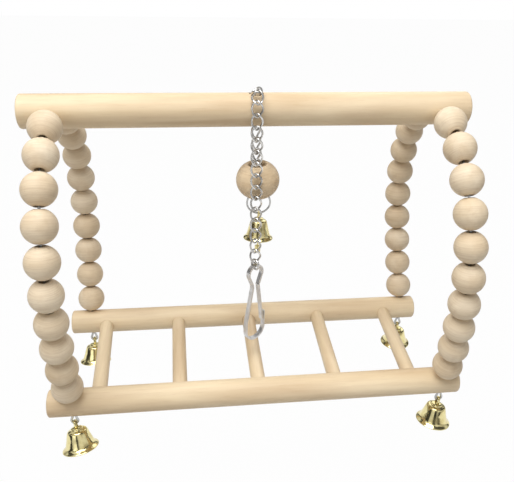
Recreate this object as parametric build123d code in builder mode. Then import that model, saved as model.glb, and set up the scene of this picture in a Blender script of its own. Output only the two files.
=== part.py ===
from build123d import *
import math
import os

os.makedirs("parts", exist_ok=True)

# Hanging play gym: +Z up, X along the rails, the side with the long chain toward -Y.
# The origin is the top of the top rail at the chain's hole, where the gym hangs.

# Rails
rail_length = 220.0
rail_edge = 1.0
top_rail_d = 16.5
top_rail_mid_x = -2.0
low_rail_d = 14.2
low_rail_mid_x = 0.5
chain_hole_d = 7.5

# Rungs
rung_d = 8.0
rung_count = 5
rung_pitch_front = 42.5
rung_pitch_rear = 44.5
rung_socket = 5.0
rung_fit = 0.2
rung_end_gap = 0.1

# Arches
arch_wire_d = 1.3
arch_top_inset = (14.5, 14.5)
arch_low_inset = (11.7, 8.0)
arch_exit_angle = 72.5
arch_exit_drop = 0.2
arch_radii = (61.5, 83.0, 248.0)
arch_beads = (3, 3, 4)
top_wire_hole_d = 3.2
low_wire_hole_d = 3.2

# Beads
bead_d = 15.8
bead_bore_d = 4.6
bead_length = math.sqrt(bead_d ** 2 - bead_bore_d ** 2)
bead_gap = 0.3044
first_bead_gap = 0.4
last_bead_gap = 0.2522

# Eye loops under the lower rails
eye_radius = 1.7
eye_drop = 6.8
eye_bend = 1.2
eye_tail = 1.6
wire_bend = 10.0

# Chain
link_wire_d = 1.1
link_pitch = 6.0
link_half_length = 3.85
link_half_width = 2.65
link_twist = -45.0
link_spans = 6
link_sides = 6
front_links = 13
lower_links = 6
jump_ring_d = 5.5
jump_ring_drop = 2.0

# Ball and ring on the lower run
ball_d = 22.6
ball_height = 18.0
ball_bore_d = 9.0
ball_mouth_d = 11.0
ball_mouth_depth = 1.0
ball_top_drop = 19.35
ring_wire_d = 1.0
ring_r = 6.15
ring_drop = 41.65

# Bells
bell_r = 9.5
bell_height = 11.8
bell_wall = 0.7
bell_hang = 14.2
strap_inner_r = 1.15
strap_thickness = 0.6
strap_width = 1.2
staple_drop = 5.6
staple_half = 1.4
staple_wire = 0.6
clapper_eye_r = 1.5
clapper_eye_hole_r = 0.9
clapper_eye_width = 0.8
clapper_rod_d = 0.9
clapper_weight_d = 3.2
clapper_weight_length = 4.0
clapper_drop_rail = 13.9
clapper_drop_centre = 22.7
centre_bell_scale = 0.84

# Spring clip
clip_width = 2.4
clip_thickness = 1.0
clip_turn = 35.0
clip_eye_r = 4.55
clip_neck_half = 1.7
clip_hook_r = 6.25
clip_length = 46.15
clip_neck_drop = 12.05
clip_shoulder_drop = 35.0
clip_tip_drop = 30.5
clip_neck_bend = 6.0
clip_shoulder_bend = 12.0
gate_gap = 0.15
gate_tip_drop = 35.6
gate_tip_half = 5.05

top_r = top_rail_d / 2
low_r = low_rail_d / 2
top_z = -top_r
arch_top_x = (
    top_rail_mid_x - rail_length / 2 + arch_top_inset[0],
    top_rail_mid_x + rail_length / 2 - arch_top_inset[1],
)
arch_low_x = (
    low_rail_mid_x - rail_length / 2 + arch_low_inset[0],
    low_rail_mid_x + rail_length / 2 - arch_low_inset[1],
)


def turned(length, d, edge):
    with BuildPart() as stick:
        with BuildSketch(Plane.YZ.offset(-length / 2)):
            Circle(d / 2)
        extrude(amount=length)
        fillet(stick.edges().filter_by(GeomType.CIRCLE), edge)
    return stick.part


# Strand of an arch in its own plane, as distances outward and down from the wire hole in the top rail
def strand_point(s):
    out, down, angle = top_r, arch_exit_drop, math.radians(arch_exit_angle)
    for r, count in zip(arch_radii, arch_beads):
        run = arc_length(r, count)
        step = min(max(s, 0.0), run)
        after = angle - step / r
        out += r * (math.cos(after) - math.cos(angle))
        down += r * (math.sin(angle) - math.sin(after))
        angle = after
        s -= run
        if s <= 0:
            return out, down, angle
    return out + s * math.sin(angle), down + s * math.cos(angle), angle


def bead_pitch(r):
    return bead_length + bead_gap + bead_bore_d / 2 * bead_d / r + bead_d ** 3 / (24 * r * r)


def arc_length(r, count):
    extra = first_bead_gap if r == arch_radii[0] else 0.0
    return bead_pitch(r) * count + extra


def bead_positions():
    s, places = first_bead_gap, []
    for r, count in zip(arch_radii, arch_beads):
        for i in range(count):
            places.append(s + bead_pitch(r) * (i + 0.5))
        s += bead_pitch(r) * count
    return places


strand_length = sum(arc_length(r, n) for r, n in zip(arch_radii, arch_beads))
end_out, end_down, end_angle = strand_point(strand_length)
to_rail = low_r + bead_length / 2 + last_bead_gap - bead_pitch(arch_radii[-1]) / 2
low_y = end_out + to_rail * math.sin(end_angle)
low_z = top_z - (end_down + to_rail * math.cos(end_angle))


class Arch:
    def __init__(self, top_x, low_x):
        self.top = Vector(top_x, 0, top_z)
        self.low_x = low_x
        lean = math.atan2(low_x - top_x, top_z - low_z)
        self.down = Vector(math.sin(lean), 0, -math.cos(lean))

    def at(self, out, down, side):
        return self.top + self.down * down + Vector(0, side * out, 0)

    def along(self, angle, side):
        return self.down * math.cos(angle) + Vector(0, side * math.sin(angle), 0)


arches = [Arch(t, b) for t, b in zip(arch_top_x, arch_low_x)]


def corner(p, d_in, d_out, r):
    half = math.acos(max(-1.0, min(1.0, d_in.dot(d_out)))) / 2
    reach = r * math.tan(half)
    inward = (d_out - d_in).normalized()
    middle = p + inward * (r / math.cos(half) - r)
    return p - d_in * reach, middle, p + d_out * reach


# Top rail with the chain's hole and the two wire holes
with BuildPart() as top_rail:
    with Locations((top_rail_mid_x, 0, top_z)):
        add(turned(rail_length, top_rail_d, rail_edge))
    with BuildSketch(Plane.XY.offset(top_z - top_rail_d)):
        Circle(chain_hole_d / 2)
    extrude(amount=2 * top_rail_d, mode=Mode.SUBTRACT)
    with BuildSketch(Plane.XZ.offset(-top_rail_d)):
        for x in arch_top_x:
            with Locations((x, top_z + 0.43)):
                Circle(top_wire_hole_d / 2)
    extrude(amount=2 * top_rail_d, mode=Mode.SUBTRACT)
top_rail.part.label = "top_rail"
export_step(top_rail.part, "parts/top_rail.step")


# Rungs, each from its front socket to its rear one
def rung_line(i):
    k = i - (rung_count - 1) / 2
    front = Vector(low_rail_mid_x + k * rung_pitch_front, -low_y, low_z)
    rear = Vector(low_rail_mid_x + k * rung_pitch_rear, low_y, low_z)
    return front, rear


# Lower rails with rung sockets and slanting wire holes
for name, side in (("front_rail", -1), ("rear_rail", 1)):
    with BuildPart() as low_rail:
        with Locations((low_rail_mid_x, side * low_y, low_z)):
            add(turned(rail_length, low_rail_d, rail_edge))
        for i in range(rung_count):
            front, rear = rung_line(i)
            here, there = (front, rear) if side < 0 else (rear, front)
            inward = (there - here).normalized()
            with BuildSketch(Plane(here + inward * (low_r - rung_socket), z_dir=inward)):
                Circle((rung_d + rung_fit) / 2)
            extrude(amount=low_rail_d, mode=Mode.SUBTRACT)
        for arch in arches:
            upper = Vector(arch.low_x, side * (low_y + 1.8), low_z + 6.9) - arch.down * 0.22
            lower = Vector(arch.low_x, side * (low_y - 0.6), low_z - 7.1)
            bore = (lower - upper).normalized()
            with BuildSketch(Plane(upper - bore * 5, z_dir=bore)):
                Circle(low_wire_hole_d / 2)
            extrude(amount=24, mode=Mode.SUBTRACT)
    low_rail.part.label = name
    export_step(low_rail.part, "parts/" + name + ".step")

with BuildPart() as rungs:
    for i in range(rung_count):
        front, rear = rung_line(i)
        inward = (rear - front).normalized()
        start = front + inward * (low_r - rung_socket + rung_end_gap)
        length = (rear - front).length - 2 * (low_r - rung_socket + rung_end_gap)
        with BuildSketch(Plane(start, z_dir=inward)):
            Circle(rung_d / 2)
        extrude(amount=length)
rungs.part.label = "rungs"
export_step(rungs.part, "parts/rungs.step")


# Arch wire: eye, front strand, top rail, rear strand, eye, in one bent length
def half_wire(arch, side):
    plumb = Vector(0, 0, -1)
    low = Vector(arch.low_x, side * low_y, low_z)
    runs = []
    s = 0.0
    for r, count in zip(arch_radii, arch_beads):
        run = arc_length(r, count)
        a, m, b = (strand_point(s + run * f) for f in (0.0, 0.5, 1.0))
        runs.append([arch.at(p[0], p[1], side) for p in (a, m, b)])
        s += run
    strand_end = runs[-1][2]
    d_in = (low - strand_end).normalized()
    b0, b1, b2 = corner(low, d_in, plumb, wire_bend)
    runs.append([strand_end, b0])
    runs.append([b0, b1, b2])
    apex = low + plumb * low_r
    centre = apex + plumb * (eye_drop - eye_radius)
    half = math.asin(eye_radius / (eye_drop - eye_radius))
    leg = (eye_drop - eye_radius) * math.cos(half)
    slope = Vector(math.sin(half), 0, -math.cos(half))
    e0, e1, e2 = corner(apex, plumb, slope, eye_bend)
    runs.append([b2, e0])
    runs.append([e0, e1, e2])
    touch = apex + slope * leg
    runs.append([e2, touch])
    runs.append([touch, centre + plumb * eye_radius, Vector(2 * apex.X - touch.X, touch.Y, touch.Z)])
    back = Vector(-slope.X, 0, slope.Z)
    runs.append([runs[-1][2], apex + back * eye_tail])
    return runs


for name, arch in zip(("arch_wire_left", "arch_wire_right"), arches):
    front, rear = half_wire(arch, -1), half_wire(arch, 1)
    with BuildPart() as arch_wire:
        with BuildLine() as path:
            for run in [list(reversed(r)) for r in reversed(front)]:
                Line(*run) if len(run) == 2 else ThreePointArc(*run)
            rise = top_r * math.tan(math.radians(90 - arch_exit_angle) / 2)
            ThreePointArc(front[0][0], arch.at(0, arch_exit_drop - rise, 1), rear[0][0])
            for run in rear:
                Line(*run) if len(run) == 2 else ThreePointArc(*run)
        with BuildSketch(Plane(path.line @ 0, z_dir=path.line % 0)):
            Circle(arch_wire_d / 2)
        sweep(path=path.line)
    arch_wire.part.label = name
    export_step(arch_wire.part, "parts/" + name + ".step")

# Turned bead, axis along Z
with BuildPart() as bead:
    with BuildSketch(Plane.XZ):
        with BuildLine():
            Line((bead_bore_d / 2, bead_length / 2), (bead_bore_d / 2, -bead_length / 2))
            ThreePointArc(
                (bead_bore_d / 2, -bead_length / 2),
                (bead_d / 2, 0),
                (bead_bore_d / 2, bead_length / 2),
            )
        make_face()
    revolve(axis=Axis.Z)

# Ten beads on each strand: nine turn on the wire, the lowest is held by the tension of the strand
bead_s = bead_positions()
strands = [
    ("front_left", arches[0], -1),
    ("front_right", arches[1], -1),
    ("rear_left", arches[0], 1),
    ("rear_right", arches[1], 1),
]


def bead_plane(arch, side, s):
    out, down, angle = strand_point(s)
    return Plane(arch.at(out, down, side), z_dir=arch.along(angle, side))


for strand, arch, side in strands:
    for i, s in enumerate(bead_s[:-1]):
        with BuildPart() as strand_bead:
            with Locations(bead_plane(arch, side, s)):
                add(bead.part)
        strand_bead.part.label = f"bead_{strand}_{i + 1}"
        export_step(strand_bead.part, f"parts/bead_{strand}_{i + 1}.step")

with BuildPart() as lowest_beads:
    for strand, arch, side in strands:
        with Locations(bead_plane(arch, side, bead_s[-1])):
            add(bead.part)
lowest_beads.part.label = "lowest_beads"
export_step(lowest_beads.part, "parts/lowest_beads.step")


# One twisted curb link, axis along Z
def link_centre(t):
    z = link_half_length * math.sin(t)
    x = link_half_width * math.cos(t)
    turn = math.radians(link_twist) * z / link_half_length
    return Vector(x * math.cos(turn), x * math.sin(turn), z)


with BuildPart() as half_link:
    for i in range(link_spans + 1):
        t = -math.pi / 2 + math.pi * i / link_spans
        c = link_centre(t)
        tangent = (link_centre(t + 1e-4) - link_centre(t - 1e-4)).normalized()
        radial = c - tangent * c.dot(tangent)
        with BuildSketch(Plane(c, x_dir=radial, z_dir=tangent)):
            RegularPolygon(link_wire_d / 2, link_sides)
    loft(ruled=True)

with BuildPart() as link:
    add(half_link.part)
    add(half_link.part, rotation=(0, 0, 180))


# Plane of a link whose axis runs from a to b and whose width lies along x_dir turned by roll
def link_plane(a, b, x_dir, roll):
    axis = (b - a).normalized()
    across = (x_dir - axis * x_dir.dot(axis)).normalized()
    over = axis.cross(across)
    turn = math.radians(roll)
    return Plane((a + b) / 2, x_dir=across * math.cos(turn) + over * math.sin(turn), z_dir=axis)


east = Vector(1, 0, 0)

# Run through the hole and over the front of the top rail, lying still
over_points = [
    Vector(0, -0.5, top_z - 8.9),
    Vector(0, -0.5, top_z - 2.9),
    Vector(0, -0.5, top_z + 3.1),
    Vector(-0.1, -0.5, top_z + 9.1),
    Vector(-0.25, -6.5, top_z + 10.1),
    Vector(-0.4, -10.8, top_z + 5.9),
    Vector(-0.5, -11.0, top_z - 0.1),
]
over_rolls = [45, 45, 45, 30, 15, 0]
with BuildPart() as chain_over_rail:
    for a, b, roll in zip(over_points, over_points[1:], over_rolls):
        with Locations(link_plane(a, b, east, roll)):
            add(link.part)
chain_over_rail.part.label = "chain_over_rail"
export_step(chain_over_rail.part, "parts/chain_over_rail.step")

# Front run from the rail down to the clip, ending in a plain jump ring
front_points = [over_points[-1]]
for i in range(front_links):
    slope = math.radians(2.1) if i < 6 else 0.0
    step = Vector(0, -math.sin(slope), -math.cos(slope)) * link_pitch
    front_points.append(front_points[-1] + step)
clip_u = Vector(math.cos(math.radians(clip_turn)), math.sin(math.radians(clip_turn)), 0)
clip_w = Vector(-clip_u.Y, clip_u.X, 0)
jump_centre = front_points[-1] - Vector(0, 0, jump_ring_drop)
with BuildPart() as chain_front:
    for a, b in zip(front_points, front_points[1:]):
        with Locations(link_plane(a, b, east, 0)):
            add(link.part)
    with Locations(Plane(jump_centre, x_dir=clip_w, z_dir=clip_u)):
        Torus(jump_ring_d / 2, link_wire_d / 2)
chain_front.part.label = "chain_front"
export_step(chain_front.part, "parts/chain_front.step")

# Lower run, hanging under the rail and leaning a little right and back
lower_top = over_points[0]
lower_axis = Vector(math.sin(math.radians(3.2)), math.sin(math.radians(3.0)), -1).normalized()
lower_points = [lower_top + lower_axis * link_pitch * i for i in range(lower_links + 1)]
with BuildPart() as chain_lower:
    for a, b in zip(lower_points, lower_points[1:]):
        with Locations(link_plane(a, b, east, -45)):
            add(link.part)
chain_lower.part.label = "chain_lower"
export_step(chain_lower.part, "parts/chain_lower.step")

# Ball with a chamfered bore, resting on the ring
lean_x = (east - lower_axis * east.dot(lower_axis)).normalized()
hang_plane = Plane(lower_top, x_dir=lean_x, z_dir=-lower_axis)
ball_centre = lower_top + lower_axis * (ball_top_drop + ball_height / 2)
with BuildPart() as ball_form:
    with BuildSketch(Plane.XZ):
        with BuildLine():
            Polyline(
                (ball_mouth_d / 2, ball_height / 2),
                (ball_bore_d / 2, ball_height / 2 - ball_mouth_depth),
                (ball_bore_d / 2, ball_mouth_depth - ball_height / 2),
                (ball_mouth_d / 2, -ball_height / 2),
            )
            ThreePointArc(
                (ball_mouth_d / 2, -ball_height / 2),
                (ball_d / 2, 0),
                (ball_mouth_d / 2, ball_height / 2),
            )
        make_face()
    revolve(axis=Axis.Z)
with BuildPart() as ball:
    with Locations(Plane(ball_centre, x_dir=lean_x, z_dir=-lower_axis)):
        add(ball_form.part)
ball.part.label = "ball"
export_step(ball.part, "parts/ball.step")

# Wire ring through the last link
ring_centre = lower_top + lower_axis * ring_drop
ring_across = lean_x.cross(-lower_axis)
with BuildPart() as ring:
    with Locations(Plane(ring_centre, x_dir=lean_x, z_dir=ring_across)):
        Torus(ring_r, ring_wire_d / 2)
ring.part.label = "ring"
export_step(ring.part, "parts/ring.step")


# Bell with its crown strap and inner staple, origin at the wire it hangs on
def bell_form(k):
    rim = -bell_hang
    t = bell_wall
    with BuildPart() as form:
        with BuildSketch(Plane.XZ):
            with BuildLine():
                Line((0, rim + bell_height), (0, rim + bell_height - t))
                ThreePointArc((0, rim + 11.1), (1.5 * k, rim + 11.0), (2.4 * k, rim + 10.7))
                Line((2.4 * k, rim + 10.7), (2.7 * k, rim + 10.2))
                ThreePointArc((2.7 * k, rim + 10.2), (4.0 * k, rim + 9.8), (4.8 * k, rim + 8.8))
                ThreePointArc((4.8 * k, rim + 8.8), (5.7 * k, rim + 5.7), (6.7 * k, rim + 2.6))
                ThreePointArc((6.7 * k, rim + 2.6), (7.5 * k, rim + 1.1), (8.7 * k, rim))
                Line((8.7 * k, rim), (bell_r * k, rim))
                Line((bell_r * k, rim), (9.3 * k, rim + 0.5))
                ThreePointArc((9.3 * k, rim + 0.5), (8.2 * k, rim + 1.4), (7.4 * k, rim + 2.7))
                ThreePointArc((7.4 * k, rim + 2.7), (6.4 * k, rim + 5.8), (5.5 * k, rim + 8.9))
                ThreePointArc((5.5 * k, rim + 8.9), (4.7 * k, rim + 10.15), (3.2 * k, rim + 10.6))
                Line((3.2 * k, rim + 10.6), (3.0 * k, rim + 11.2))
                ThreePointArc((3.0 * k, rim + 11.2), (1.7 * k, rim + 11.65), (0, rim + bell_height))
            make_face()
        revolve(axis=Axis.Z)
        with BuildSketch(Plane.YZ):
            with Locations((0, -1.35)):
                Rectangle(2 * (strap_inner_r + strap_thickness), 2.7)
            Circle(strap_inner_r + strap_thickness)
            with Locations((0, -1.1)):
                Rectangle(2 * strap_inner_r, 2.2, mode=Mode.SUBTRACT)
            Circle(strap_inner_r, mode=Mode.SUBTRACT)
        extrude(amount=strap_width / 2, both=True)
        with BuildSketch(Plane.YZ):
            with Locations((0, -(2.9 + staple_drop + staple_wire / 2) / 2)):
                Rectangle(2 * staple_half + staple_wire, staple_drop + staple_wire / 2 - 2.9)
            with Locations((0, -(2.9 + staple_drop - staple_wire / 2) / 2)):
                Rectangle(
                    2 * staple_half - staple_wire,
                    staple_drop - staple_wire / 2 - 2.9,
                    mode=Mode.SUBTRACT,
                )
        extrude(amount=staple_wire / 2, both=True)
    return form.part


# Clapper: eye on the staple, rod and weight
def clapper_form(drop):
    with BuildPart() as form:
        with BuildSketch(Plane.XZ.offset(-clapper_eye_width / 2)):
            with Locations((0, -staple_drop)):
                Circle(clapper_eye_r)
                Circle(clapper_eye_hole_r, mode=Mode.SUBTRACT)
        extrude(amount=clapper_eye_width)
        rod_top = -staple_drop - (clapper_eye_r + clapper_eye_hole_r) / 2
        with BuildSketch(Plane.XY.offset(rod_top)):
            Circle(clapper_rod_d / 2)
        extrude(amount=-(drop - clapper_weight_length / 2 + rod_top))
        with BuildSketch(Plane.XY.offset(-drop)):
            Circle(clapper_weight_d / 2)
        extrude(amount=clapper_weight_length)
        fillet(form.edges().group_by(Axis.Z)[0], 0.6)
    return form.part


# Bell, hanging point, scale, mouth tilt toward -Y, mouth tilt toward +X, clapper's reach
eye_z = low_z - low_r - eye_drop
bells = [
    ("front_left", Vector(arch_low_x[0], -low_y, eye_z), 1.0, 18.0, 9.0, clapper_drop_rail),
    ("front_right", Vector(arch_low_x[1], -low_y, eye_z), 1.0, 6.0, -7.0, clapper_drop_rail),
    ("rear_left", Vector(arch_low_x[0], low_y, eye_z), 1.0, 17.0, 0.0, clapper_drop_rail),
    ("rear_right", Vector(arch_low_x[1], low_y, eye_z), 1.0, 0.0, 0.0, clapper_drop_rail),
    ("centre", ring_centre + lower_axis * ring_r, centre_bell_scale, 6.0, -2.0, clapper_drop_centre),
]
for name, place, scale, toward, across, drop in bells:
    spot = Location((place.X, place.Y, place.Z), (-toward, -across, 0))
    with BuildPart() as bell:
        with Locations(spot):
            add(bell_form(scale))
    bell.part.label = "bell_" + name
    export_step(bell.part, "parts/bell_" + name + ".step")
    with BuildPart() as clapper:
        with Locations(spot):
            add(clapper_form(drop))
    clapper.part.label = "clapper_" + name
    export_step(clapper.part, "parts/clapper_" + name + ".step")

# Spring clip, one bent strip: hook, back leg, neck and eye, lengths down from the top of the eye
clip_top = jump_centre + Vector(0, 0, -0.55)
clip_base = Plane(clip_top, x_dir=clip_u, z_dir=-clip_w)
hook_y = clip_hook_r - clip_length
neck = Vector(-clip_neck_half, -clip_neck_drop, 0)
shoulder = Vector(-clip_hook_r, -clip_shoulder_drop, 0)
eye_centre = Vector(0, -clip_eye_r, 0)
neck_reach = (neck - eye_centre).length
grip = math.acos(clip_eye_r / neck_reach)
neck_angle = math.atan2(neck.Y - eye_centre.Y, neck.X)
touch_angle = neck_angle - grip
touch = eye_centre + Vector(math.cos(touch_angle), math.sin(touch_angle), 0) * clip_eye_r
n0, n1, n2 = corner(neck, (neck - touch).normalized(), (shoulder - neck).normalized(), clip_neck_bend)
s0, s1, s2 = corner(shoulder, (shoulder - neck).normalized(), Vector(0, -1, 0), clip_shoulder_bend)
gate_hinge = Vector(-n1.X, n1.Y, 0)
far_touch = Vector(-touch.X, touch.Y, 0)
body_end = gate_hinge + (far_touch - gate_hinge).normalized() * (clip_thickness / 2 + gate_gap)


def flat(*points):
    return [(q.X, q.Y) for q in points]


with BuildPart() as clip_body:
    with BuildLine(clip_base) as clip_path:
        Line((clip_hook_r, -clip_tip_drop), (clip_hook_r, hook_y))
        ThreePointArc((clip_hook_r, hook_y), (0, -clip_length), (-clip_hook_r, hook_y))
        Line((-clip_hook_r, hook_y), *flat(s2))
        ThreePointArc(*flat(s2, s1, s0))
        Line(*flat(s0, n2))
        ThreePointArc(*flat(n2, n1, n0))
        Line(*flat(n0, touch))
        ThreePointArc(*flat(touch), (0, 0), *flat(far_touch))
        Line(*flat(far_touch, body_end))
    with BuildSketch(Plane(clip_path.line @ 0, x_dir=clip_w, z_dir=clip_path.line % 0)):
        Rectangle(clip_width, clip_thickness)
    sweep(path=clip_path.line)
clip_body.part.label = "clip_body"
export_step(clip_body.part, "parts/clip_body.step")

# Springy front leg of the clip, closing inside the hook's tip
with BuildPart() as clip_gate:
    with BuildLine(clip_base) as gate_path:
        Polyline(*flat(gate_hinge), (gate_tip_half - 0.45, -clip_tip_drop - 0.5), (gate_tip_half, -gate_tip_drop))
    with BuildSketch(Plane(gate_path.line @ 0, x_dir=clip_w, z_dir=gate_path.line % 0)):
        Rectangle(clip_width, clip_thickness)
    sweep(path=gate_path.line, transition=Transition.RIGHT)
    with BuildSketch(clip_base):
        with Locations(flat(gate_hinge)[0]):
            Circle(clip_thickness / 2)
    extrude(amount=clip_width / 2, both=True)
clip_gate.part.label = "clip_gate"
export_step(clip_gate.part, "parts/clip_gate.step")
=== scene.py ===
import bpy
import bmesh
import math
import random
from mathutils import Matrix, Vector


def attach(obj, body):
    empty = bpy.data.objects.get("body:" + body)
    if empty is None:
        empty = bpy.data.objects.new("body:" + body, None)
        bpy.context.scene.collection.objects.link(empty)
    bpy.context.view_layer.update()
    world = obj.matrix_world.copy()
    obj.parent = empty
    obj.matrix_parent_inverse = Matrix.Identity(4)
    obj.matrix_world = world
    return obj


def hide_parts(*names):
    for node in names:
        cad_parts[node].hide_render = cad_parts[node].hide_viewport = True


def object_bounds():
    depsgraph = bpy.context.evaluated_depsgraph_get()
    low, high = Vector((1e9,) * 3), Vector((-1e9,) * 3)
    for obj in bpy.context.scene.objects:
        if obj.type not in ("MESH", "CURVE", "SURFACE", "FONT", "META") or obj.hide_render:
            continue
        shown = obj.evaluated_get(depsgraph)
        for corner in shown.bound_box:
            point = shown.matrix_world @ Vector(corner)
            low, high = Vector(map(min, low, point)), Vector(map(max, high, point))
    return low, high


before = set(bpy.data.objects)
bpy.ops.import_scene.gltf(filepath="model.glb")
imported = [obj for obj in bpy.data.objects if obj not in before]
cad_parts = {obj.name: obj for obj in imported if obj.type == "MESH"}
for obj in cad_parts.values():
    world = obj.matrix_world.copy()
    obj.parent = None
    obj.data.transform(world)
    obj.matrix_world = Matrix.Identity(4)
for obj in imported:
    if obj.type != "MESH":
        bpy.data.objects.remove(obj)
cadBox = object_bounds()
print("frame loaded")

mm = 0.001
topR = 8.25


def linear(r, g, b):
    def one(c):
        c /= 255
        return c / 12.92 if c <= 0.04045 else ((c + 0.055) / 1.055) ** 2.4
    return (one(r), one(g), one(b), 1.0)


# Camera, at the photograph's angle
cameraSettings = {"spot": (-0.03078, -0.28771, 0.06518), "yaw": 0.1243, "pitch": 0.4395, "roll": -0.0230,
                  "focalPixels": 595.84, "centreX": 263.80, "centreY": 224.90, "sensor": 36,
                  "pixelsWide": 514, "pixelsHigh": 482, "nearest": 0.01}


def makeCamera(s):
    fwd = Vector((math.sin(s["yaw"]) * math.cos(s["pitch"]), math.cos(s["yaw"]) * math.cos(s["pitch"]),
                  -math.sin(s["pitch"])))
    right0 = Vector((math.cos(s["yaw"]), -math.sin(s["yaw"]), 0))
    down0 = fwd.cross(right0)
    right = right0 * math.cos(s["roll"]) + down0 * math.sin(s["roll"])
    down = down0 * math.cos(s["roll"]) - right0 * math.sin(s["roll"])
    data = bpy.data.cameras.new("photoCamera")
    data.sensor_width = s["sensor"]
    data.lens = s["focalPixels"] * s["sensor"] / s["pixelsWide"]
    data.shift_x = (s["pixelsWide"] / 2 - s["centreX"]) / s["pixelsWide"]
    data.shift_y = (s["centreY"] - s["pixelsHigh"] / 2) / s["pixelsWide"]
    data.clip_start = s["nearest"]
    cam = bpy.data.objects.new("photoCamera", data)
    turn = Matrix((right, -down, -fwd)).transposed().to_4x4()
    cam.matrix_world = Matrix.Translation(Vector(s["spot"])) @ turn
    bpy.context.scene.collection.objects.link(cam)
    bpy.context.scene.camera = cam


makeCamera(cameraSettings)


# Shader node groups
def newGroup(name, inputs, outputs):
    tree = bpy.data.node_groups.new(name, "ShaderNodeTree")
    for label, kind, value in inputs:
        socket = tree.interface.new_socket(label, in_out="INPUT", socket_type=kind)
        if value is not None:
            socket.default_value = value
    for label, kind in outputs:
        tree.interface.new_socket(label, in_out="OUTPUT", socket_type=kind)
    return tree, tree.nodes.new("NodeGroupInput"), tree.nodes.new("NodeGroupOutput")


def node(tree, kind, **values):
    made = tree.nodes.new(kind)
    for key, value in values.items():
        if hasattr(made, key):
            setattr(made, key, value)
        else:
            made.inputs[key.replace("_", " ")].default_value = value
    return made


def mixColor(tree, fac, a, b, blend="MIX"):
    made = tree.nodes.new("ShaderNodeMix")
    made.data_type = "RGBA"
    made.blend_type = blend
    for socket, value in ((made.inputs[0], fac), (made.inputs[6], a), (made.inputs[7], b)):
        if hasattr(value, "is_output"):
            tree.links.new(value, socket)
        else:
            socket.default_value = value
    return made.outputs[2]


def mathNode(tree, operation, a, b=0.0):
    made = tree.nodes.new("ShaderNodeMath")
    made.operation = operation
    for socket, value in ((made.inputs[0], a), (made.inputs[1], b)):
        if hasattr(value, "is_output"):
            tree.links.new(value, socket)
        else:
            socket.default_value = value
    return made.outputs[0]


def ramp(tree, source, stops):
    made = tree.nodes.new("ShaderNodeValToRGB")
    while len(made.color_ramp.elements) < len(stops):
        made.color_ramp.elements.new(0.5)
    for element, (place, colour) in zip(made.color_ramp.elements, stops):
        element.position = place
        element.color = colour if isinstance(colour, tuple) else (colour, colour, colour, 1)
    tree.links.new(source, made.inputs[0])
    return made.outputs[0]


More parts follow.
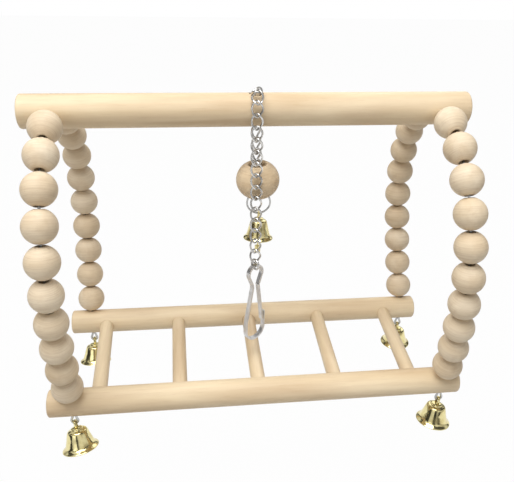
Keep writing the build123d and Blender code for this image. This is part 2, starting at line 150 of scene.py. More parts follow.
# Long grain, fine pores, broad patches and turned rings for turned wood; the grain runs along the vector's X
def makeWoodGroup():
    tree, gin, gout = newGroup("turnedWood", [
        ("Vector", "NodeSocketVector", None),
        ("Pale", "NodeSocketColor", linear(240, 224, 196)),
        ("Warm", "NodeSocketColor", linear(214, 188, 148)),
        ("Dark", "NodeSocketColor", linear(170, 134, 92)),
        ("Tone", "NodeSocketFloat", 0.5),
        ("Streak", "NodeSocketFloat", 1.0),
        ("Stain", "NodeSocketFloat", 0.0),
        ("Rings", "NodeSocketFloat", 0.0),
    ], [("Color", "NodeSocketColor"), ("Roughness", "NodeSocketFloat"), ("Height", "NodeSocketFloat")])
    links = tree.links
    stretch = node(tree, "ShaderNodeMapping")
    stretch.inputs["Scale"].default_value = (26, 420, 420)
    links.new(gin.outputs["Vector"], stretch.inputs["Vector"])
    grain = node(tree, "ShaderNodeTexNoise", Scale=1.0, Detail=5.0, Roughness=0.6)
    links.new(stretch.outputs[0], grain.inputs["Vector"])
    wide = node(tree, "ShaderNodeMapping")
    wide.inputs["Scale"].default_value = (9, 120, 120)
    links.new(gin.outputs["Vector"], wide.inputs["Vector"])
    figure = node(tree, "ShaderNodeTexNoise", Scale=1.0, Detail=3.0, Distortion=0.6)
    links.new(wide.outputs[0], figure.inputs["Vector"])
    pores = node(tree, "ShaderNodeMapping")
    pores.inputs["Scale"].default_value = (140, 2600, 2600)
    links.new(gin.outputs["Vector"], pores.inputs["Vector"])
    fine = node(tree, "ShaderNodeTexNoise", Scale=1.0, Detail=2.0)
    links.new(pores.outputs[0], fine.inputs["Vector"])
    figureMask = ramp(tree, figure.outputs[0], [(0.36, 0.0), (0.64, 1.0)])
    grainMask = ramp(tree, grain.outputs[0], [(0.45, 0.0), (0.72, 1.0)])
    poreMask = ramp(tree, fine.outputs[0], [(0.60, 0.0), (0.74, 1.0)])
    lean = mathNode(tree, "MULTIPLY", gin.outputs["Tone"], 0.9)
    ground = mixColor(tree, mathNode(tree, "MULTIPLY", mathNode(tree, "ADD", figureMask, lean), 0.5),
                      gin.outputs["Pale"], gin.outputs["Warm"])
    streakAmount = mathNode(tree, "MULTIPLY", gin.outputs["Streak"], 0.28)
    streaked = mixColor(tree, mathNode(tree, "MULTIPLY", grainMask, streakAmount), ground, gin.outputs["Dark"])
    stainMap = node(tree, "ShaderNodeMapping")
    stainMap.inputs["Scale"].default_value = (11, 55, 55)
    links.new(gin.outputs["Vector"], stainMap.inputs["Vector"])
    stain = node(tree, "ShaderNodeTexNoise", Scale=1.0, Detail=3.0, Distortion=0.4)
    links.new(stainMap.outputs[0], stain.inputs["Vector"])
    stainMask = ramp(tree, stain.outputs[0], [(0.42, 0.0), (0.66, 1.0)])
    stained = mixColor(tree, mathNode(tree, "MULTIPLY", stainMask, gin.outputs["Stain"]), streaked,
                       gin.outputs["Dark"])
    ringMap = node(tree, "ShaderNodeMapping")
    ringMap.inputs["Scale"].default_value = (60, 60, 2600)
    links.new(gin.outputs["Vector"], ringMap.inputs["Vector"])
    ring = node(tree, "ShaderNodeTexNoise", Scale=1.0, Detail=2.0)
    links.new(ringMap.outputs[0], ring.inputs["Vector"])
    ringMask = mathNode(tree, "MULTIPLY", ramp(tree, ring.outputs[0], [(0.46, 0.0), (0.66, 1.0)]),
                        gin.outputs["Rings"])
    ringed = mixColor(tree, mathNode(tree, "MULTIPLY", ringMask, 0.35), stained, gin.outputs["Dark"])
    finished = mixColor(tree, mathNode(tree, "MULTIPLY", poreMask, 0.16), ringed, gin.outputs["Dark"])
    links.new(finished, gout.inputs["Color"])
    rough = mathNode(tree, "ADD", mathNode(tree, "MULTIPLY", grain.outputs[0], 0.16), 0.44)
    links.new(rough, gout.inputs["Roughness"])
    relief = mathNode(tree, "SUBTRACT", grain.outputs[0], mathNode(tree, "MULTIPLY", poreMask, 0.6))
    links.new(mathNode(tree, "SUBTRACT", relief, ringMask), gout.inputs["Height"])
    return tree


# Small scratches, cloudy tarnish and a roughness that follows them
def makeMetalGroup():
    tree, gin, gout = newGroup("wornMetal", [
        ("Vector", "NodeSocketVector", None),
        ("Clean", "NodeSocketColor", (0.8, 0.8, 0.8, 1)),
        ("Tarnish", "NodeSocketColor", (0.4, 0.4, 0.4, 1)),
        ("Amount", "NodeSocketFloat", 0.4),
        ("Gloss", "NodeSocketFloat", 0.2),
    ], [("Color", "NodeSocketColor"), ("Roughness", "NodeSocketFloat"), ("Height", "NodeSocketFloat")])
    links = tree.links
    cloud = node(tree, "ShaderNodeTexNoise", Scale=220.0, Detail=4.0)
    links.new(gin.outputs["Vector"], cloud.inputs["Vector"])
    scratchMap = node(tree, "ShaderNodeMapping")
    scratchMap.inputs["Rotation"].default_value = (0.5, 0.3, 0.8)
    scratchMap.inputs["Scale"].default_value = (500, 5000, 900)
    links.new(gin.outputs["Vector"], scratchMap.inputs["Vector"])
    scratch = node(tree, "ShaderNodeTexNoise", Scale=1.0, Detail=2.0)
    links.new(scratchMap.outputs[0], scratch.inputs["Vector"])
    cloudMask = ramp(tree, cloud.outputs[0], [(0.42, 0.0), (0.68, 1.0)])
    scratchMask = ramp(tree, scratch.outputs[0], [(0.58, 0.0), (0.72, 1.0)])
    dull = mathNode(tree, "MULTIPLY", cloudMask, gin.outputs["Amount"])
    links.new(mixColor(tree, dull, gin.outputs["Clean"], gin.outputs["Tarnish"]), gout.inputs["Color"])
    rough = mathNode(tree, "ADD", gin.outputs["Gloss"], mathNode(tree, "MULTIPLY", dull, 0.3))
    scratched = mathNode(tree, "ADD", rough, mathNode(tree, "MULTIPLY", scratchMask, 0.08))
    links.new(scratched, gout.inputs["Roughness"])
    relief = mathNode(tree, "SUBTRACT", cloud.outputs[0], mathNode(tree, "MULTIPLY", scratchMask, 0.5))
    links.new(relief, gout.inputs["Height"])
    return tree


woodGroup = makeWoodGroup()
metalGroup = makeMetalGroup()


def startMaterial(name):
    mat = bpy.data.materials.new(name)
    mat.use_nodes = True
    tree = mat.node_tree
    shader = tree.nodes["Principled BSDF"]
    return mat, tree, shader


def vectorFrom(tree, attribute=None, turn=(0, 0, 0), shift=(0, 0, 0)):
    if attribute:
        source = node(tree, "ShaderNodeAttribute", attribute_name=attribute).outputs["Vector"]
    else:
        source = node(tree, "ShaderNodeTexCoord").outputs["Object"]
    place = node(tree, "ShaderNodeMapping")
    place.inputs["Rotation"].default_value = turn
    place.inputs["Location"].default_value = shift
    tree.links.new(source, place.inputs["Vector"])
    return place.outputs[0]


def woodMaterial(name, settings, attribute=None, turn=(0, 0, 0), tone=None):
    mat, tree, shader = startMaterial(name)
    group = node(tree, "ShaderNodeGroup")
    group.node_tree = woodGroup
    vector = vectorFrom(tree, attribute, turn)
    if tone:
        value = node(tree, "ShaderNodeAttribute", attribute_name=tone).outputs["Fac"]
        tree.links.new(value, group.inputs["Tone"])
        spread = node(tree, "ShaderNodeCombineXYZ")
        tree.links.new(value, spread.inputs[0])
        moved = node(tree, "ShaderNodeVectorMath")
        moved.operation = "ADD"
        tree.links.new(vector, moved.inputs[0])
        tree.links.new(spread.outputs[0], moved.inputs[1])
        vector = moved.outputs[0]
    else:
        group.inputs["Tone"].default_value = settings["tone"]
    tree.links.new(vector, group.inputs["Vector"])
    for key in ("pale", "warm", "dark", "streak", "stain", "rings"):
        group.inputs[key.capitalize()].default_value = settings[key]
    tree.links.new(group.outputs["Color"], shader.inputs["Base Color"])
    tree.links.new(group.outputs["Roughness"], shader.inputs["Roughness"])
    bump = node(tree, "ShaderNodeBump", Strength=settings["bump"], Distance=0.0003)
    tree.links.new(group.outputs["Height"], bump.inputs["Height"])
    tree.links.new(bump.outputs[0], shader.inputs["Normal"])
    shader.inputs["Specular IOR Level"].default_value = 0.35
    return mat


def metalMaterial(name, settings, attribute=None):
    mat, tree, shader = startMaterial(name)
    group = node(tree, "ShaderNodeGroup")
    group.node_tree = metalGroup
    tree.links.new(vectorFrom(tree, attribute), group.inputs["Vector"])
    for key in ("clean", "tarnish", "amount", "gloss"):
        group.inputs[key.capitalize()].default_value = settings[key]
    tree.links.new(group.outputs["Color"], shader.inputs["Base Color"])
    tree.links.new(group.outputs["Roughness"], shader.inputs["Roughness"])
    bump = node(tree, "ShaderNodeBump", Strength=settings["bump"], Distance=0.00005)
    tree.links.new(group.outputs["Height"], bump.inputs["Height"])
    tree.links.new(bump.outputs[0], shader.inputs["Normal"])
    shader.inputs["Metallic"].default_value = 1.0
    return mat


railWood = {"pale": linear(235, 216, 184), "warm": linear(217, 194, 156), "dark": linear(170, 130, 86),
            "tone": 0.4, "streak": 0.6, "stain": 0.34, "rings": 0.0, "bump": 0.2}
beadWood = {"pale": linear(235, 219, 193), "warm": linear(215, 193, 160), "dark": linear(172, 138, 98),
            "tone": 0.5, "streak": 0.45, "stain": 0.12, "rings": 0.6, "bump": 0.25}
ballWood = {"pale": linear(234, 214, 182), "warm": linear(216, 190, 152), "dark": linear(160, 122, 82),
            "tone": 0.6, "streak": 0.5, "stain": 0.15, "rings": 0.5, "bump": 0.2}
nickel = {"clean": (0.74, 0.73, 0.71, 1), "tarnish": (0.16, 0.15, 0.14, 1),
          "amount": 0.75, "gloss": 0.16, "bump": 0.3}
satin = {"clean": (0.68, 0.67, 0.66, 1), "tarnish": (0.42, 0.42, 0.41, 1),
         "amount": 0.5, "gloss": 0.30, "bump": 0.3}
wireSteel = {"clean": (0.55, 0.55, 0.54, 1), "tarnish": (0.28, 0.27, 0.26, 1),
             "amount": 0.5, "gloss": 0.22, "bump": 0.3}
brass = {"clean": linear(236, 224, 168), "tarnish": linear(186, 158, 88),
         "amount": 0.4, "gloss": 0.10, "bump": 0.15}

railMaterial = woodMaterial("paleDowel", railWood)
rungMaterial = woodMaterial("paleRung", railWood, turn=(0, 0, math.radians(90)))
beadMaterial = woodMaterial("turnedBead", beadWood, attribute="local", tone="tone")
ballMaterial = woodMaterial("turnedBall", ballWood, attribute="local")
nickelMaterial = metalMaterial("brightNickel", nickel)
satinMaterial = metalMaterial("satinNickel", satin)
wireMaterial = metalMaterial("greyWire", wireSteel)
brassMaterial = metalMaterial("polishedBrass", brass)
print("materials made")


# Small mesh helpers
def meshObject(name, verts, faces, material, smooth=True, local=True):
    mesh = bpy.data.meshes.new(name)
    mesh.from_pydata([tuple(v) for v in verts], [], faces)
    mesh.validate()
    bm = bmesh.new()
    bm.from_mesh(mesh)
    bmesh.ops.remove_doubles(bm, verts=bm.verts, dist=1e-7)
    bmesh.ops.recalc_face_normals(bm, faces=bm.faces)
    bm.to_mesh(mesh)
    bm.free()
    if local:
        layer = mesh.attributes.new("local", "FLOAT_VECTOR", "POINT")
        for item, vert in zip(layer.data, mesh.vertices):
            item.vector = vert.co
    for poly in mesh.polygons:
        poly.use_smooth = smooth
    mesh.materials.append(material)
    obj = bpy.data.objects.new(name, mesh)
    bpy.context.scene.collection.objects.link(obj)
    return obj


# Closed solid turned about Z from a closed profile of (radius, height) in metres
def lathe(profile, sides):
    verts, faces = [], []
    count = len(profile)
    for i in range(sides):
        a = 2 * math.pi * i / sides
        for r, z in profile:
            verts.append((r * math.cos(a), r * math.sin(a), z))
    for i in range(sides):
        for j in range(count):
            k = (j + 1) % count
            if profile[j][0] < 1e-9 and profile[k][0] < 1e-9:
                continue
            n = (i + 1) % sides
            face = [i * count + j, n * count + j, n * count + k, i * count + k]
            if profile[j][0] < 1e-9:
                face = [i * count + j, n * count + k, i * count + k]
            elif profile[k][0] < 1e-9:
                face = [i * count + j, n * count + j, i * count + k]
            faces.append(face)
    return verts, faces


def smoothCurve(points, steps):
    out = []
    for i in range(len(points) - 1):
        p0 = points[max(i - 1, 0)]
        p1, p2 = points[i], points[i + 1]
        p3 = points[min(i + 2, len(points) - 1)]
        for s in range(steps):
            t = s / steps
            out.append(tuple(0.5 * (2 * b + (c - a) * t + (2 * a - 5 * b + 4 * c - d) * t * t
                             + (3 * b - a - 3 * c + d) * t ** 3) for a, b, c, d in zip(p0, p1, p2, p3)))
    out.append(tuple(points[-1]))
    return out


# Geometry Nodes: one piece set on every point, turned and toned by the point's attributes
def makeScatterTree():
    tree = bpy.data.node_groups.new("setOnPoints", "GeometryNodeTree")
    face = tree.interface
    face.new_socket("Geometry", in_out="INPUT", socket_type="NodeSocketGeometry")
    face.new_socket("Piece", in_out="INPUT", socket_type="NodeSocketObject")
    face.new_socket("Scale", in_out="INPUT", socket_type="NodeSocketFloat").default_value = 1.0
    face.new_socket("Material", in_out="INPUT", socket_type="NodeSocketMaterial")
    face.new_socket("Geometry", in_out="OUTPUT", socket_type="NodeSocketGeometry")
    gin, gout = tree.nodes.new("NodeGroupInput"), tree.nodes.new("NodeGroupOutput")
    info = tree.nodes.new("GeometryNodeObjectInfo")
    turn = tree.nodes.new("GeometryNodeInputNamedAttribute")
    turn.data_type = "FLOAT_VECTOR"
    turn.inputs["Name"].default_value = "turn"
    rotation = tree.nodes.new("FunctionNodeEulerToRotation")
    setOn = tree.nodes.new("GeometryNodeInstanceOnPoints")
    real = tree.nodes.new("GeometryNodeRealizeInstances")
    paint = tree.nodes.new("GeometryNodeSetMaterial")
    links = tree.links
    links.new(gin.outputs["Piece"], info.inputs["Object"])
    links.new(gin.outputs["Geometry"], setOn.inputs["Points"])
    links.new(info.outputs["Geometry"], setOn.inputs["Instance"])
    links.new(turn.outputs["Attribute"], rotation.inputs[0])
    links.new(rotation.outputs[0], setOn.inputs["Rotation"])
    links.new(gin.outputs["Scale"], setOn.inputs["Scale"])
    links.new(setOn.outputs[0], real.inputs[0])
    links.new(real.outputs[0], paint.inputs["Geometry"])
    links.new(gin.outputs["Material"], paint.inputs["Material"])
    links.new(paint.outputs[0], gout.inputs[0])
    return tree


scatterTree = makeScatterTree()


def setOnPoints(name, places, piece, material, tones=None):
    mesh = bpy.data.meshes.new(name + "Points")
    mesh.from_pydata([tuple(m.translation) for m in places], [], [])
    turn = mesh.attributes.new("turn", "FLOAT_VECTOR", "POINT")
    for item, m in zip(turn.data, places):
        item.vector = tuple(m.to_euler("XYZ"))
    if tones:
        tone = mesh.attributes.new("tone", "FLOAT", "POINT")
        for item, value in zip(tone.data, tones):
            item.value = value
    holder = bpy.data.objects.new(name + "Points", mesh)
    bpy.context.scene.collection.objects.link(holder)
    modifier = holder.modifiers.new("set", "NODES")
    modifier.node_group = scatterTree
    sockets = {s.name: s.identifier for s in scatterTree.interface.items_tree if s.in_out == "INPUT"}
    modifier[sockets["Piece"]] = piece
    modifier[sockets["Material"]] = material
    depsgraph = bpy.context.evaluated_depsgraph_get()
    depsgraph.update()
    made = bpy.data.meshes.new_from_object(holder.evaluated_get(depsgraph), depsgraph=depsgraph)
    bpy.data.objects.remove(holder)
    for poly in made.polygons:
        poly.use_smooth = True
    obj = bpy.data.objects.new(name, made)
    bpy.context.scene.collection.objects.link(obj)
    return obj


def planeMatrix(origin, xDir, zDir):
    z = Vector(zDir).normalized()
    x = (Vector(xDir) - z * z.dot(Vector(xDir))).normalized()
    y = z.cross(x)
    m = Matrix((x, y, z)).transposed().to_4x4()
    return Matrix.Translation(Vector(origin)) @ m


# Curb chain
chain = {"wire": 1.1, "halfLength": 3.85, "halfWidth": 2.65, "twist": -45.0, "pitch": 6.0, "spans": 28,
         "sides": 12, "flat": 0.94, "frontLinks": 13, "curvedLinks": 6, "frontSlope": 2.1, "lowerLinks": 6,
         "lowerRoll": -45, "overRolls": (45, 45, 45, 30, 15, 0)}


def linkPiece(s):
    verts, faces = [], []

    def centre(t):
        z = s["halfLength"] * math.sin(t)
        x = s["halfWidth"] * math.cos(t)
        turn = math.radians(s["twist"]) * z / s["halfLength"]
        side = 1 if math.cos(t) >= 0 else -1
        return Vector((abs(x) * math.cos(turn) * side, abs(x) * math.sin(turn) * side, z))

    for i in range(s["spans"]):
        t = 2 * math.pi * (i + 0.5) / s["spans"]
        c = centre(t)
        tangent = (centre(t + 1e-3) - centre(t - 1e-3)).normalized()
        radial = (c - tangent * c.dot(tangent)).normalized()
        other = tangent.cross(radial)
        for j in range(s["sides"]):
            a = 2 * math.pi * j / s["sides"]
            verts.append((c + (radial * math.cos(a) * s["flat"] + other * math.sin(a)) * s["wire"] / 2) * mm)
    n = s["sides"]
    for i in range(s["spans"]):
        k = (i + 1) % s["spans"]
        for j in range(n):
            l = (j + 1) % n
            faces.append([i * n + j, k * n + j, k * n + l, i * n + l])
    return meshObject("link", verts, faces, nickelMaterial)


link = linkPiece(chain)


def linkPlaces(points, rolls):
    places = []
    for a, b, roll in zip(points, points[1:], rolls):
        a, b = Vector(a), Vector(b)
        axis = (b - a).normalized()
        across = (Vector((1, 0, 0)) - axis * axis.x).normalized()
        over = axis.cross(across)
        turn = math.radians(roll)
        places.append(planeMatrix((a + b) / 2 * mm, across * math.cos(turn) + over * math.sin(turn), axis))
    return places


overPoints = [(0, -0.5, -8.9), (0, -0.5, -2.9), (0, -0.5, 3.1), (-0.1, -0.5, 9.1), (-0.25, -6.5, 10.1),
              (-0.4, -10.8, 5.9), (-0.5, -11.0, -0.1)]
overPoints = [(x, y, z - topR) for x, y, z in overPoints]
overPiece = setOnPoints("overLinks", linkPlaces(overPoints, chain["overRolls"]), link, nickelMaterial)
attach(overPiece, "frame")
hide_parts("chain_over_rail")

frontPoints = [Vector(overPoints[-1])]
for i in range(chain["frontLinks"]):
    slope = math.radians(chain["frontSlope"]) if i < chain["curvedLinks"] else 0.0
    frontPoints.append(frontPoints[-1] + Vector((0, -math.sin(slope), -math.cos(slope))) * chain["pitch"])
frontPiece = setOnPoints("frontLinks", linkPlaces(frontPoints, [0] * chain["frontLinks"]), link, nickelMaterial)


def torusMesh(name, centre, xDir, zDir, radius, wire, material, around=48, sides=14):
    place = planeMatrix(centre, xDir, zDir)
    verts, faces = [], []
    for i in range(around):
        a = 2 * math.pi * i / around
        for j in range(sides):
            b = 2 * math.pi * j / sides
            r = radius + wire * math.cos(b)
            verts.append(place @ Vector((r * math.cos(a), r * math.sin(a), wire * math.sin(b))))
    for i in range(around):
        for j in range(sides):
            k, l = (i + 1) % around, (j + 1) % sides
            faces.append([i * sides + j, k * sides + j, k * sides + l, i * sides + l])
    return meshObject(name, verts, faces, material)


jump = {"turn": 35, "drop": 2.0, "radius": 2.75, "wire": 0.55}
jumpTurn = math.radians(jump["turn"])
jumpU = Vector((math.cos(jumpTurn), math.sin(jumpTurn), 0))
jumpW = Vector((-jumpU.y, jumpU.x, 0))
jumpCentre = frontPoints[-1] - Vector((0, 0, jump["drop"]))
jumpRing = torusMesh("jumpRing", jumpCentre * mm, jumpW, jumpU, jump["radius"] * mm, jump["wire"] * mm,
                     nickelMaterial)
for piece in (frontPiece, jumpRing):
    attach(piece, "chain_front")
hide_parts("chain_front")

lowerLean = (math.radians(3.2), math.radians(3.0))
lowerTop = Vector(overPoints[0])
lowerAxis = Vector((math.sin(lowerLean[0]), math.sin(lowerLean[1]), -1)).normalized()
lowerPoints = [lowerTop + lowerAxis * chain["pitch"] * i for i in range(chain["lowerLinks"] + 1)]
lowerPlaces = linkPlaces(lowerPoints, [chain["lowerRoll"]] * chain["lowerLinks"])
lowerPiece = setOnPoints("lowerLinks", lowerPlaces, link, nickelMaterial)
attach(lowerPiece, "chain_lower")
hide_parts("chain_lower")
bpy.data.objects.remove(link)
print("chains made")

# Ring and ball on the lower run
ring = {"drop": 41.65, "radius": 6.15, "wire": 0.5, "around": 64, "sides": 14}
leanX = (Vector((1, 0, 0)) - lowerAxis * lowerAxis.x).normalized()
ringAcross = leanX.cross(-lowerAxis)
ringCentre = lowerTop + lowerAxis * ring["drop"]
ringPiece = torusMesh("wireRing", ringCentre * mm, leanX, ringAcross, ring["radius"] * mm, ring["wire"] * mm,
                      wireMaterial, ring["around"], ring["sides"])
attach(ringPiece, "ring")
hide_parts("ring")

ball = {"radius": 11.3, "half": 9.0, "bore": 4.5, "mouth": 5.5, "mouthDepth": 1.0, "top": 19.35, "steps": 30,
        "sides": 72}


# Profile of a bored ball or bead: an arc through (mouth, half), (radius, 0) and (mouth, -half), then the bore
def turnedForm(half, radius, mouth, bore, depth, steps):
    c = (radius ** 2 - mouth ** 2 - half ** 2) / (2 * (radius - mouth))
    arc = radius - c
    reach = math.asin(half / arc)
    profile = []
    for i in range(steps + 1):
        a = -reach + 2 * reach * i / steps
        profile.append(((c + arc * math.cos(a)) * mm, arc * math.sin(a) * mm))
    lip = 0.25 * min(1.0, depth)
    profile.append(((mouth - lip) * mm, (half - 0.02) * mm))
    profile.append(((bore + 0.02) * mm, (half - depth) * mm))
    profile.append((bore * mm, (half - depth - 0.3) * mm))
    profile.append((bore * mm, (depth + 0.3 - half) * mm))
    profile.append(((bore + 0.02) * mm, (depth - half) * mm))
    profile.append(((mouth - lip) * mm, (0.02 - half) * mm))
    return profile


def place(obj, matrix):
    obj.data.transform(matrix)
    return obj


ballVerts, ballFaces = lathe(turnedForm(ball["half"], ball["radius"], ball["mouth"], ball["bore"],
                                        ball["mouthDepth"], ball["steps"]), ball["sides"])
ballCentre = lowerTop + lowerAxis * (ball["top"] + ball["half"])
ballPiece = place(meshObject("turnedBallPiece", ballVerts, ballFaces, ballMaterial),
                  planeMatrix(ballCentre * mm, leanX, -lowerAxis))
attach(ballPiece, "ball")
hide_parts("ball")

# Beads on the arches
beads = {"d": 15.8, "bore": 4.6, "length": 15.1156, "gap": 0.3044, "firstGap": 0.4, "exit": 72.5, "drop": 0.2,
         "radii": (61.5, 83.0, 248.0), "counts": (3, 3, 4), "topX": (-97.5, 93.5), "lowX": (-97.8, 102.5),
         "mouthDepth": 0.25, "steps": 22, "sides": 48, "seed": 7, "toneRange": (0.0, 1.0)}


def beadPitch(r):
    return beads["length"] + beads["gap"] + beads["bore"] / 2 * beads["d"] / r + beads["d"] ** 3 / (24 * r * r)


def strandPoint(s):
    out, down, angle = topR, beads["drop"], math.radians(beads["exit"])
    for i, (r, count) in enumerate(zip(beads["radii"], beads["counts"])):
        run = beadPitch(r) * count + (beads["firstGap"] if i == 0 else 0)
        step = min(s, run)
        after = angle - step / r
        out += r * (math.cos(after) - math.cos(angle))
        down += r * (math.sin(angle) - math.sin(after))
        angle = after
        s -= run
        if s <= 0:
            break
    return out, down, angle


beadStops, travelled = [], beads["firstGap"]
for r, count in zip(beads["radii"], beads["counts"]):
    for i in range(count):
        beadStops.append(travelled + beadPitch(r) * (i + 0.5))
    travelled += beadPitch(r) * count
# Centre lines of the two lower rails, and their radius
lowY, lowZ, lowR = 37.01388793, -152.35529213, 7.1
beadVerts, beadFaces = lathe(turnedForm(beads["length"] / 2, beads["d"] / 2, beads["bore"] / 2 + 0.001,
                                        beads["bore"] / 2, beads["mouthDepth"], beads["steps"]), beads["sides"])
beadPiece = meshObject("beadForm", beadVerts, beadFaces, beadMaterial)
dice = random.Random(beads["seed"])
lowest, lowestTones = [], []
strands = (("front_left", 0, -1), ("front_right", 1, -1), ("rear_left", 0, 1), ("rear_right", 1, 1))
for strand, which, side in strands:
    topX, lowX = beads["topX"][which], beads["lowX"][which]
    lean = math.atan2(lowX - topX, -topR - lowZ)
    downDir = Vector((math.sin(lean), 0, -math.cos(lean)))
    for i, s in enumerate(beadStops):
        out, down, angle = strandPoint(s)
        centre = Vector((topX, 0, -topR)) + downDir * down + Vector((0, side * out, 0))
        axis = downDir * math.cos(angle) + Vector((0, side * math.sin(angle), 0))
        spin = Matrix.Rotation(dice.uniform(0, 2 * math.pi), 4, "Z")
        spot = planeMatrix(centre * mm, (1, 0, 0), axis) @ spin
        tone = dice.uniform(*beads["toneRange"])
        if i == len(beadStops) - 1:
            lowest.append(spot)
            lowestTones.append(tone)
            continue
        name = f"bead_{strand}_{i + 1}"
        made = setOnPoints("turned_" + name, [spot], beadPiece, beadMaterial, [tone])
        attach(made, name)
        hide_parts(name)
made = setOnPoints("turned_lowest_beads", lowest, beadPiece, beadMaterial, lowestTones)
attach(made, "frame")
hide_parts("lowest_beads")
bpy.data.objects.remove(beadPiece)
print("beads made")

# Bells
bell = {"hang": 14.2, "strapInner": 1.15, "strapThick": 0.6, "strapWidth": 1.2, "strapTop": -1.2,
        "strapFoot": -2.6, "strapSteps": 16, "staple": 0.6, "centreScale": 0.84, "eyeDrop": 6.8, "sides": 64}
outerBell = [(0.0, 11.8), (1.7, 11.66), (2.75, 11.4), (3.0, 11.15), (3.08, 10.8), (3.3, 10.56), (4.5, 10.22),
             (5.1, 9.75), (5.5, 8.9), (6.0, 7.3), (6.4, 5.8), (6.9, 4.2), (7.4, 2.7), (7.8, 1.85), (8.4, 1.2),
             (9.3, 0.5), (9.48, 0.25)]
innerBell = [(9.5, 0.0), (8.75, 0.02), (7.6, 1.0), (6.9, 2.2), (6.3, 4.0), (5.7, 5.8), (5.2, 7.5), (4.8, 8.8),
             (4.2, 9.6), (3.2, 10.0), (2.7, 10.25), (2.4, 10.7), (1.5, 11.0), (0.0, 11.1)]


def bellForm(k):
    profile = smoothCurve(outerBell, 3) + smoothCurve(innerBell, 2)
    profile = [(max(r, 0.0) * k * mm, (z - bell["hang"]) * mm) for r, z in profile]
    profile[0] = (0.0, profile[0][1])
    profile[-1] = (0.0, profile[-1][1])
    return lathe(profile, bell["sides"])


# Flat strip with softened edges along a path of (y, z), its width across X
def band(path, width, thick):
    verts, faces = [], []
    count = len(path)
    for i, (y, z) in enumerate(path):
        before, after = path[max(i - 1, 0)], path[min(i + 1, count - 1)]
        d = Vector((after[0] - before[0], after[1] - before[1])).normalized()
        n = Vector((-d.y, d.x))
        soft = 0.12 * thick
        ring = [(-width / 2 + soft, -thick / 2), (width / 2 - soft, -thick / 2), (width / 2, -thick / 2 + soft),
                (width / 2, thick / 2 - soft), (width / 2 - soft, thick / 2), (-width / 2 + soft, thick / 2),
                (-width / 2, thick / 2 - soft), (-width / 2, -thick / 2 + soft)]
        for x, t in ring:
            verts.append((x * mm, (y + n.x * t) * mm, (z + n.y * t) * mm))
    for i in range(count - 1):
        for j in range(8):
            l = (j + 1) % 8
            faces.append([i * 8 + j, i * 8 + l, (i + 1) * 8 + l, (i + 1) * 8 + j])
    faces.append(list(range(8)))
    faces.append([(count - 1) * 8 + j for j in range(8)])
    return verts, faces


def strapPath():
    r = bell["strapInner"] + bell["strapThick"] / 2
    path = [(-r, bell["strapFoot"]), (-r, bell["strapTop"])]
    for i in range(bell["strapSteps"] + 1):
        a = math.pi - math.pi * i / bell["strapSteps"]
        path.append((r * math.cos(a), r * math.sin(a)))
    return path + [(r, bell["strapTop"]), (r, bell["strapFoot"])]


def staplePath():
    return [(-1.4, -3.0), (-1.4, -4.9), (-1.32, -5.35), (-1.05, -5.6), (0, -5.6), (1.05, -5.6), (1.32, -5.35),
            (1.4, -4.9), (1.4, -3.0)]


def joined(*parts):
    verts, faces = [], []
    for v, f in parts:
        base = len(verts)
        verts += list(v)
        faces += [[base + i for i in face] for face in f]
    return verts, faces


eyeZ = lowZ - lowR - bell["eyeDrop"]
ringFoot = ringCentre + lowerAxis * ring["radius"]
# Each bell's name, hanging point, scale, and its leans out of plumb in degrees
bellPlaces = [("front_left", (beads["lowX"][0], -lowY, eyeZ), 1.0, 18.0, 9.0),
              ("front_right", (beads["lowX"][1], -lowY, eyeZ), 1.0, 6.0, -7.0),
              ("rear_left", (beads["lowX"][0], lowY, eyeZ), 1.0, 17.0, 0.0),
              ("rear_right", (beads["lowX"][1], lowY, eyeZ), 1.0, 0.0, 0.0),
              ("centre", tuple(ringFoot), bell["centreScale"], 6.0, -2.0)]
for name, spot, k, toward, across in bellPlaces:
    turn = (Matrix.Rotation(math.radians(-toward), 4, "X") @ Matrix.Rotation(math.radians(-across), 4, "Y"))
    where = Matrix.Translation(Vector(spot) * mm) @ turn
    verts, faces = joined(bellForm(k), band(strapPath(), bell["strapWidth"], bell["strapThick"]),
                          band(staplePath(), bell["staple"], bell["staple"]))
    piece = place(meshObject("castBell_" + name, verts, faces, brassMaterial), where)
    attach(piece, "bell_" + name)
    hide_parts("bell_" + name)
print("bells made")


# Carried-over nodes
def dress(nodeName, material):
    obj = bpy.data.objects.get(nodeName)
    for slot in obj.material_slots:
        slot.material = material
    if not obj.material_slots:
        obj.data.materials.append(material)


for nodeName in ("top_rail", "front_rail", "rear_rail"):
    dress(nodeName, railMaterial)
dress("rungs", rungMaterial)
for nodeName in ("arch_wire_left", "arch_wire_right"):
    dress(nodeName, wireMaterial)
for nodeName in ("clip_body", "clip_gate"):
    dress(nodeName, satinMaterial)
for name, *_ in bellPlaces:
    dress("clapper_" + name, brassMaterial)

# Floor, backdrop and light
stageSettings = {"floorDrop": 0.10, "floorSize": 6.0, "floor": 0.60, "floorGlow": 0.975, "world": 0.58,
                 "lampSize": 0.7, "keyPower": 9.5, "fillPower": 1.0, "backPower": 1.2}


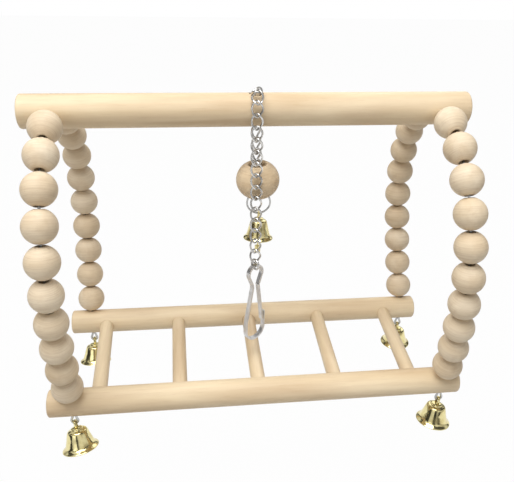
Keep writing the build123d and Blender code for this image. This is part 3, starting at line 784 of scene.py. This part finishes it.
def stageMaterial(name, value, camera):
    mat, tree, shader = startMaterial(name)
    shader.inputs["Base Color"].default_value = (value, value, value, 1)
    shader.inputs["Roughness"].default_value = 0.9
    shader.inputs["Specular IOR Level"].default_value = 0.0
    out = tree.nodes["Material Output"]
    glow = node(tree, "ShaderNodeEmission", Strength=1.0)
    path = node(tree, "ShaderNodeLightPath")
    mix = node(tree, "ShaderNodeMixShader")
    seen = mathNode(tree, "MAXIMUM", path.outputs["Is Camera Ray"], path.outputs["Is Glossy Ray"])
    seen = mathNode(tree, "MAXIMUM", seen, path.outputs["Is Transmission Ray"])
    tree.links.new(mathNode(tree, "MULTIPLY", seen, camera), mix.inputs[0])
    tree.links.new(shader.outputs[0], mix.inputs[1])
    tree.links.new(glow.outputs[0], mix.inputs[2])
    tree.links.new(mix.outputs[0], out.inputs[0])
    return mat


floorZ = cadBox[0][2] - stageSettings["floorDrop"]
half = stageSettings["floorSize"] / 2
floorCorners = [(-half, -half, floorZ), (half, -half, floorZ), (half, half, floorZ), (-half, half, floorZ)]
floorMaterial = stageMaterial("paleFloor", stageSettings["floor"], stageSettings["floorGlow"])
floor = meshObject("studioFloor", floorCorners, [[0, 1, 2, 3]], floorMaterial, smooth=False, local=False)

world = bpy.data.worlds.new("studioWorld")
bpy.context.scene.world = world
world.use_nodes = True
worldTree = world.node_tree
background = worldTree.nodes["Background"]
around = node(worldTree, "ShaderNodeTexCoord").outputs["Generated"]
parts = node(worldTree, "ShaderNodeSeparateXYZ")
worldTree.links.new(around, parts.inputs[0])
height = mathNode(worldTree, "ADD", mathNode(worldTree, "MULTIPLY", parts.outputs[2], 0.5), 0.5)
heightLight = ramp(worldTree, height, [(0.0, 0.75), (0.44, 0.55), (0.54, 0.45), (0.68, 1.0), (1.0, 1.25)])
screens = node(worldTree, "ShaderNodeTexNoise", Scale=1.7, Detail=1.0)
worldTree.links.new(around, screens.inputs["Vector"])
screenLight = ramp(worldTree, screens.outputs[0], [(0.44, 0.12), (0.56, 1.35)])
worldTree.links.new(mixColor(worldTree, 1.0, heightLight, screenLight, "MULTIPLY"), background.inputs["Color"])
background.inputs["Strength"].default_value = stageSettings["world"]
seenWorld = node(worldTree, "ShaderNodeBackground", Strength=1.0)
seenWorld.inputs["Color"].default_value = (1, 1, 1, 1)
lightPath = node(worldTree, "ShaderNodeLightPath")
worldMix = node(worldTree, "ShaderNodeMixShader")
seen = mathNode(worldTree, "MAXIMUM", lightPath.outputs["Is Camera Ray"],
                lightPath.outputs["Is Transmission Ray"])
worldTree.links.new(seen, worldMix.inputs[0])
worldTree.links.new(background.outputs[0], worldMix.inputs[1])
worldTree.links.new(seenWorld.outputs[0], worldMix.inputs[2])
worldTree.links.new(worldMix.outputs[0], worldTree.nodes["World Output"].inputs[0])


def areaLight(name, spot, target, size, power):
    data = bpy.data.lights.new(name, "AREA")
    data.shape = "SQUARE"
    data.size = size
    data.energy = power
    lamp = bpy.data.objects.new(name, data)
    lamp.location = spot
    lamp.rotation_euler = (Vector(target) - Vector(spot)).to_track_quat("-Z", "Y").to_euler()
    bpy.context.scene.collection.objects.link(lamp)


lamps = (("topSoftbox", (-0.15, -0.25, 0.75), (0, 0, -0.08), stageSettings["keyPower"]),
         ("frontFill", (-0.7, -0.9, 0.2), (0, 0, -0.1), stageSettings["fillPower"]),
         ("backFill", (0.6, 0.9, 0.35), (0, 0, -0.1), stageSettings["backPower"]))
for name, spot, target, power in lamps:
    areaLight(name, spot, target, stageSettings["lampSize"], power)
print("stage made")

scene = bpy.context.scene
scene.view_settings.view_transform = "Standard"
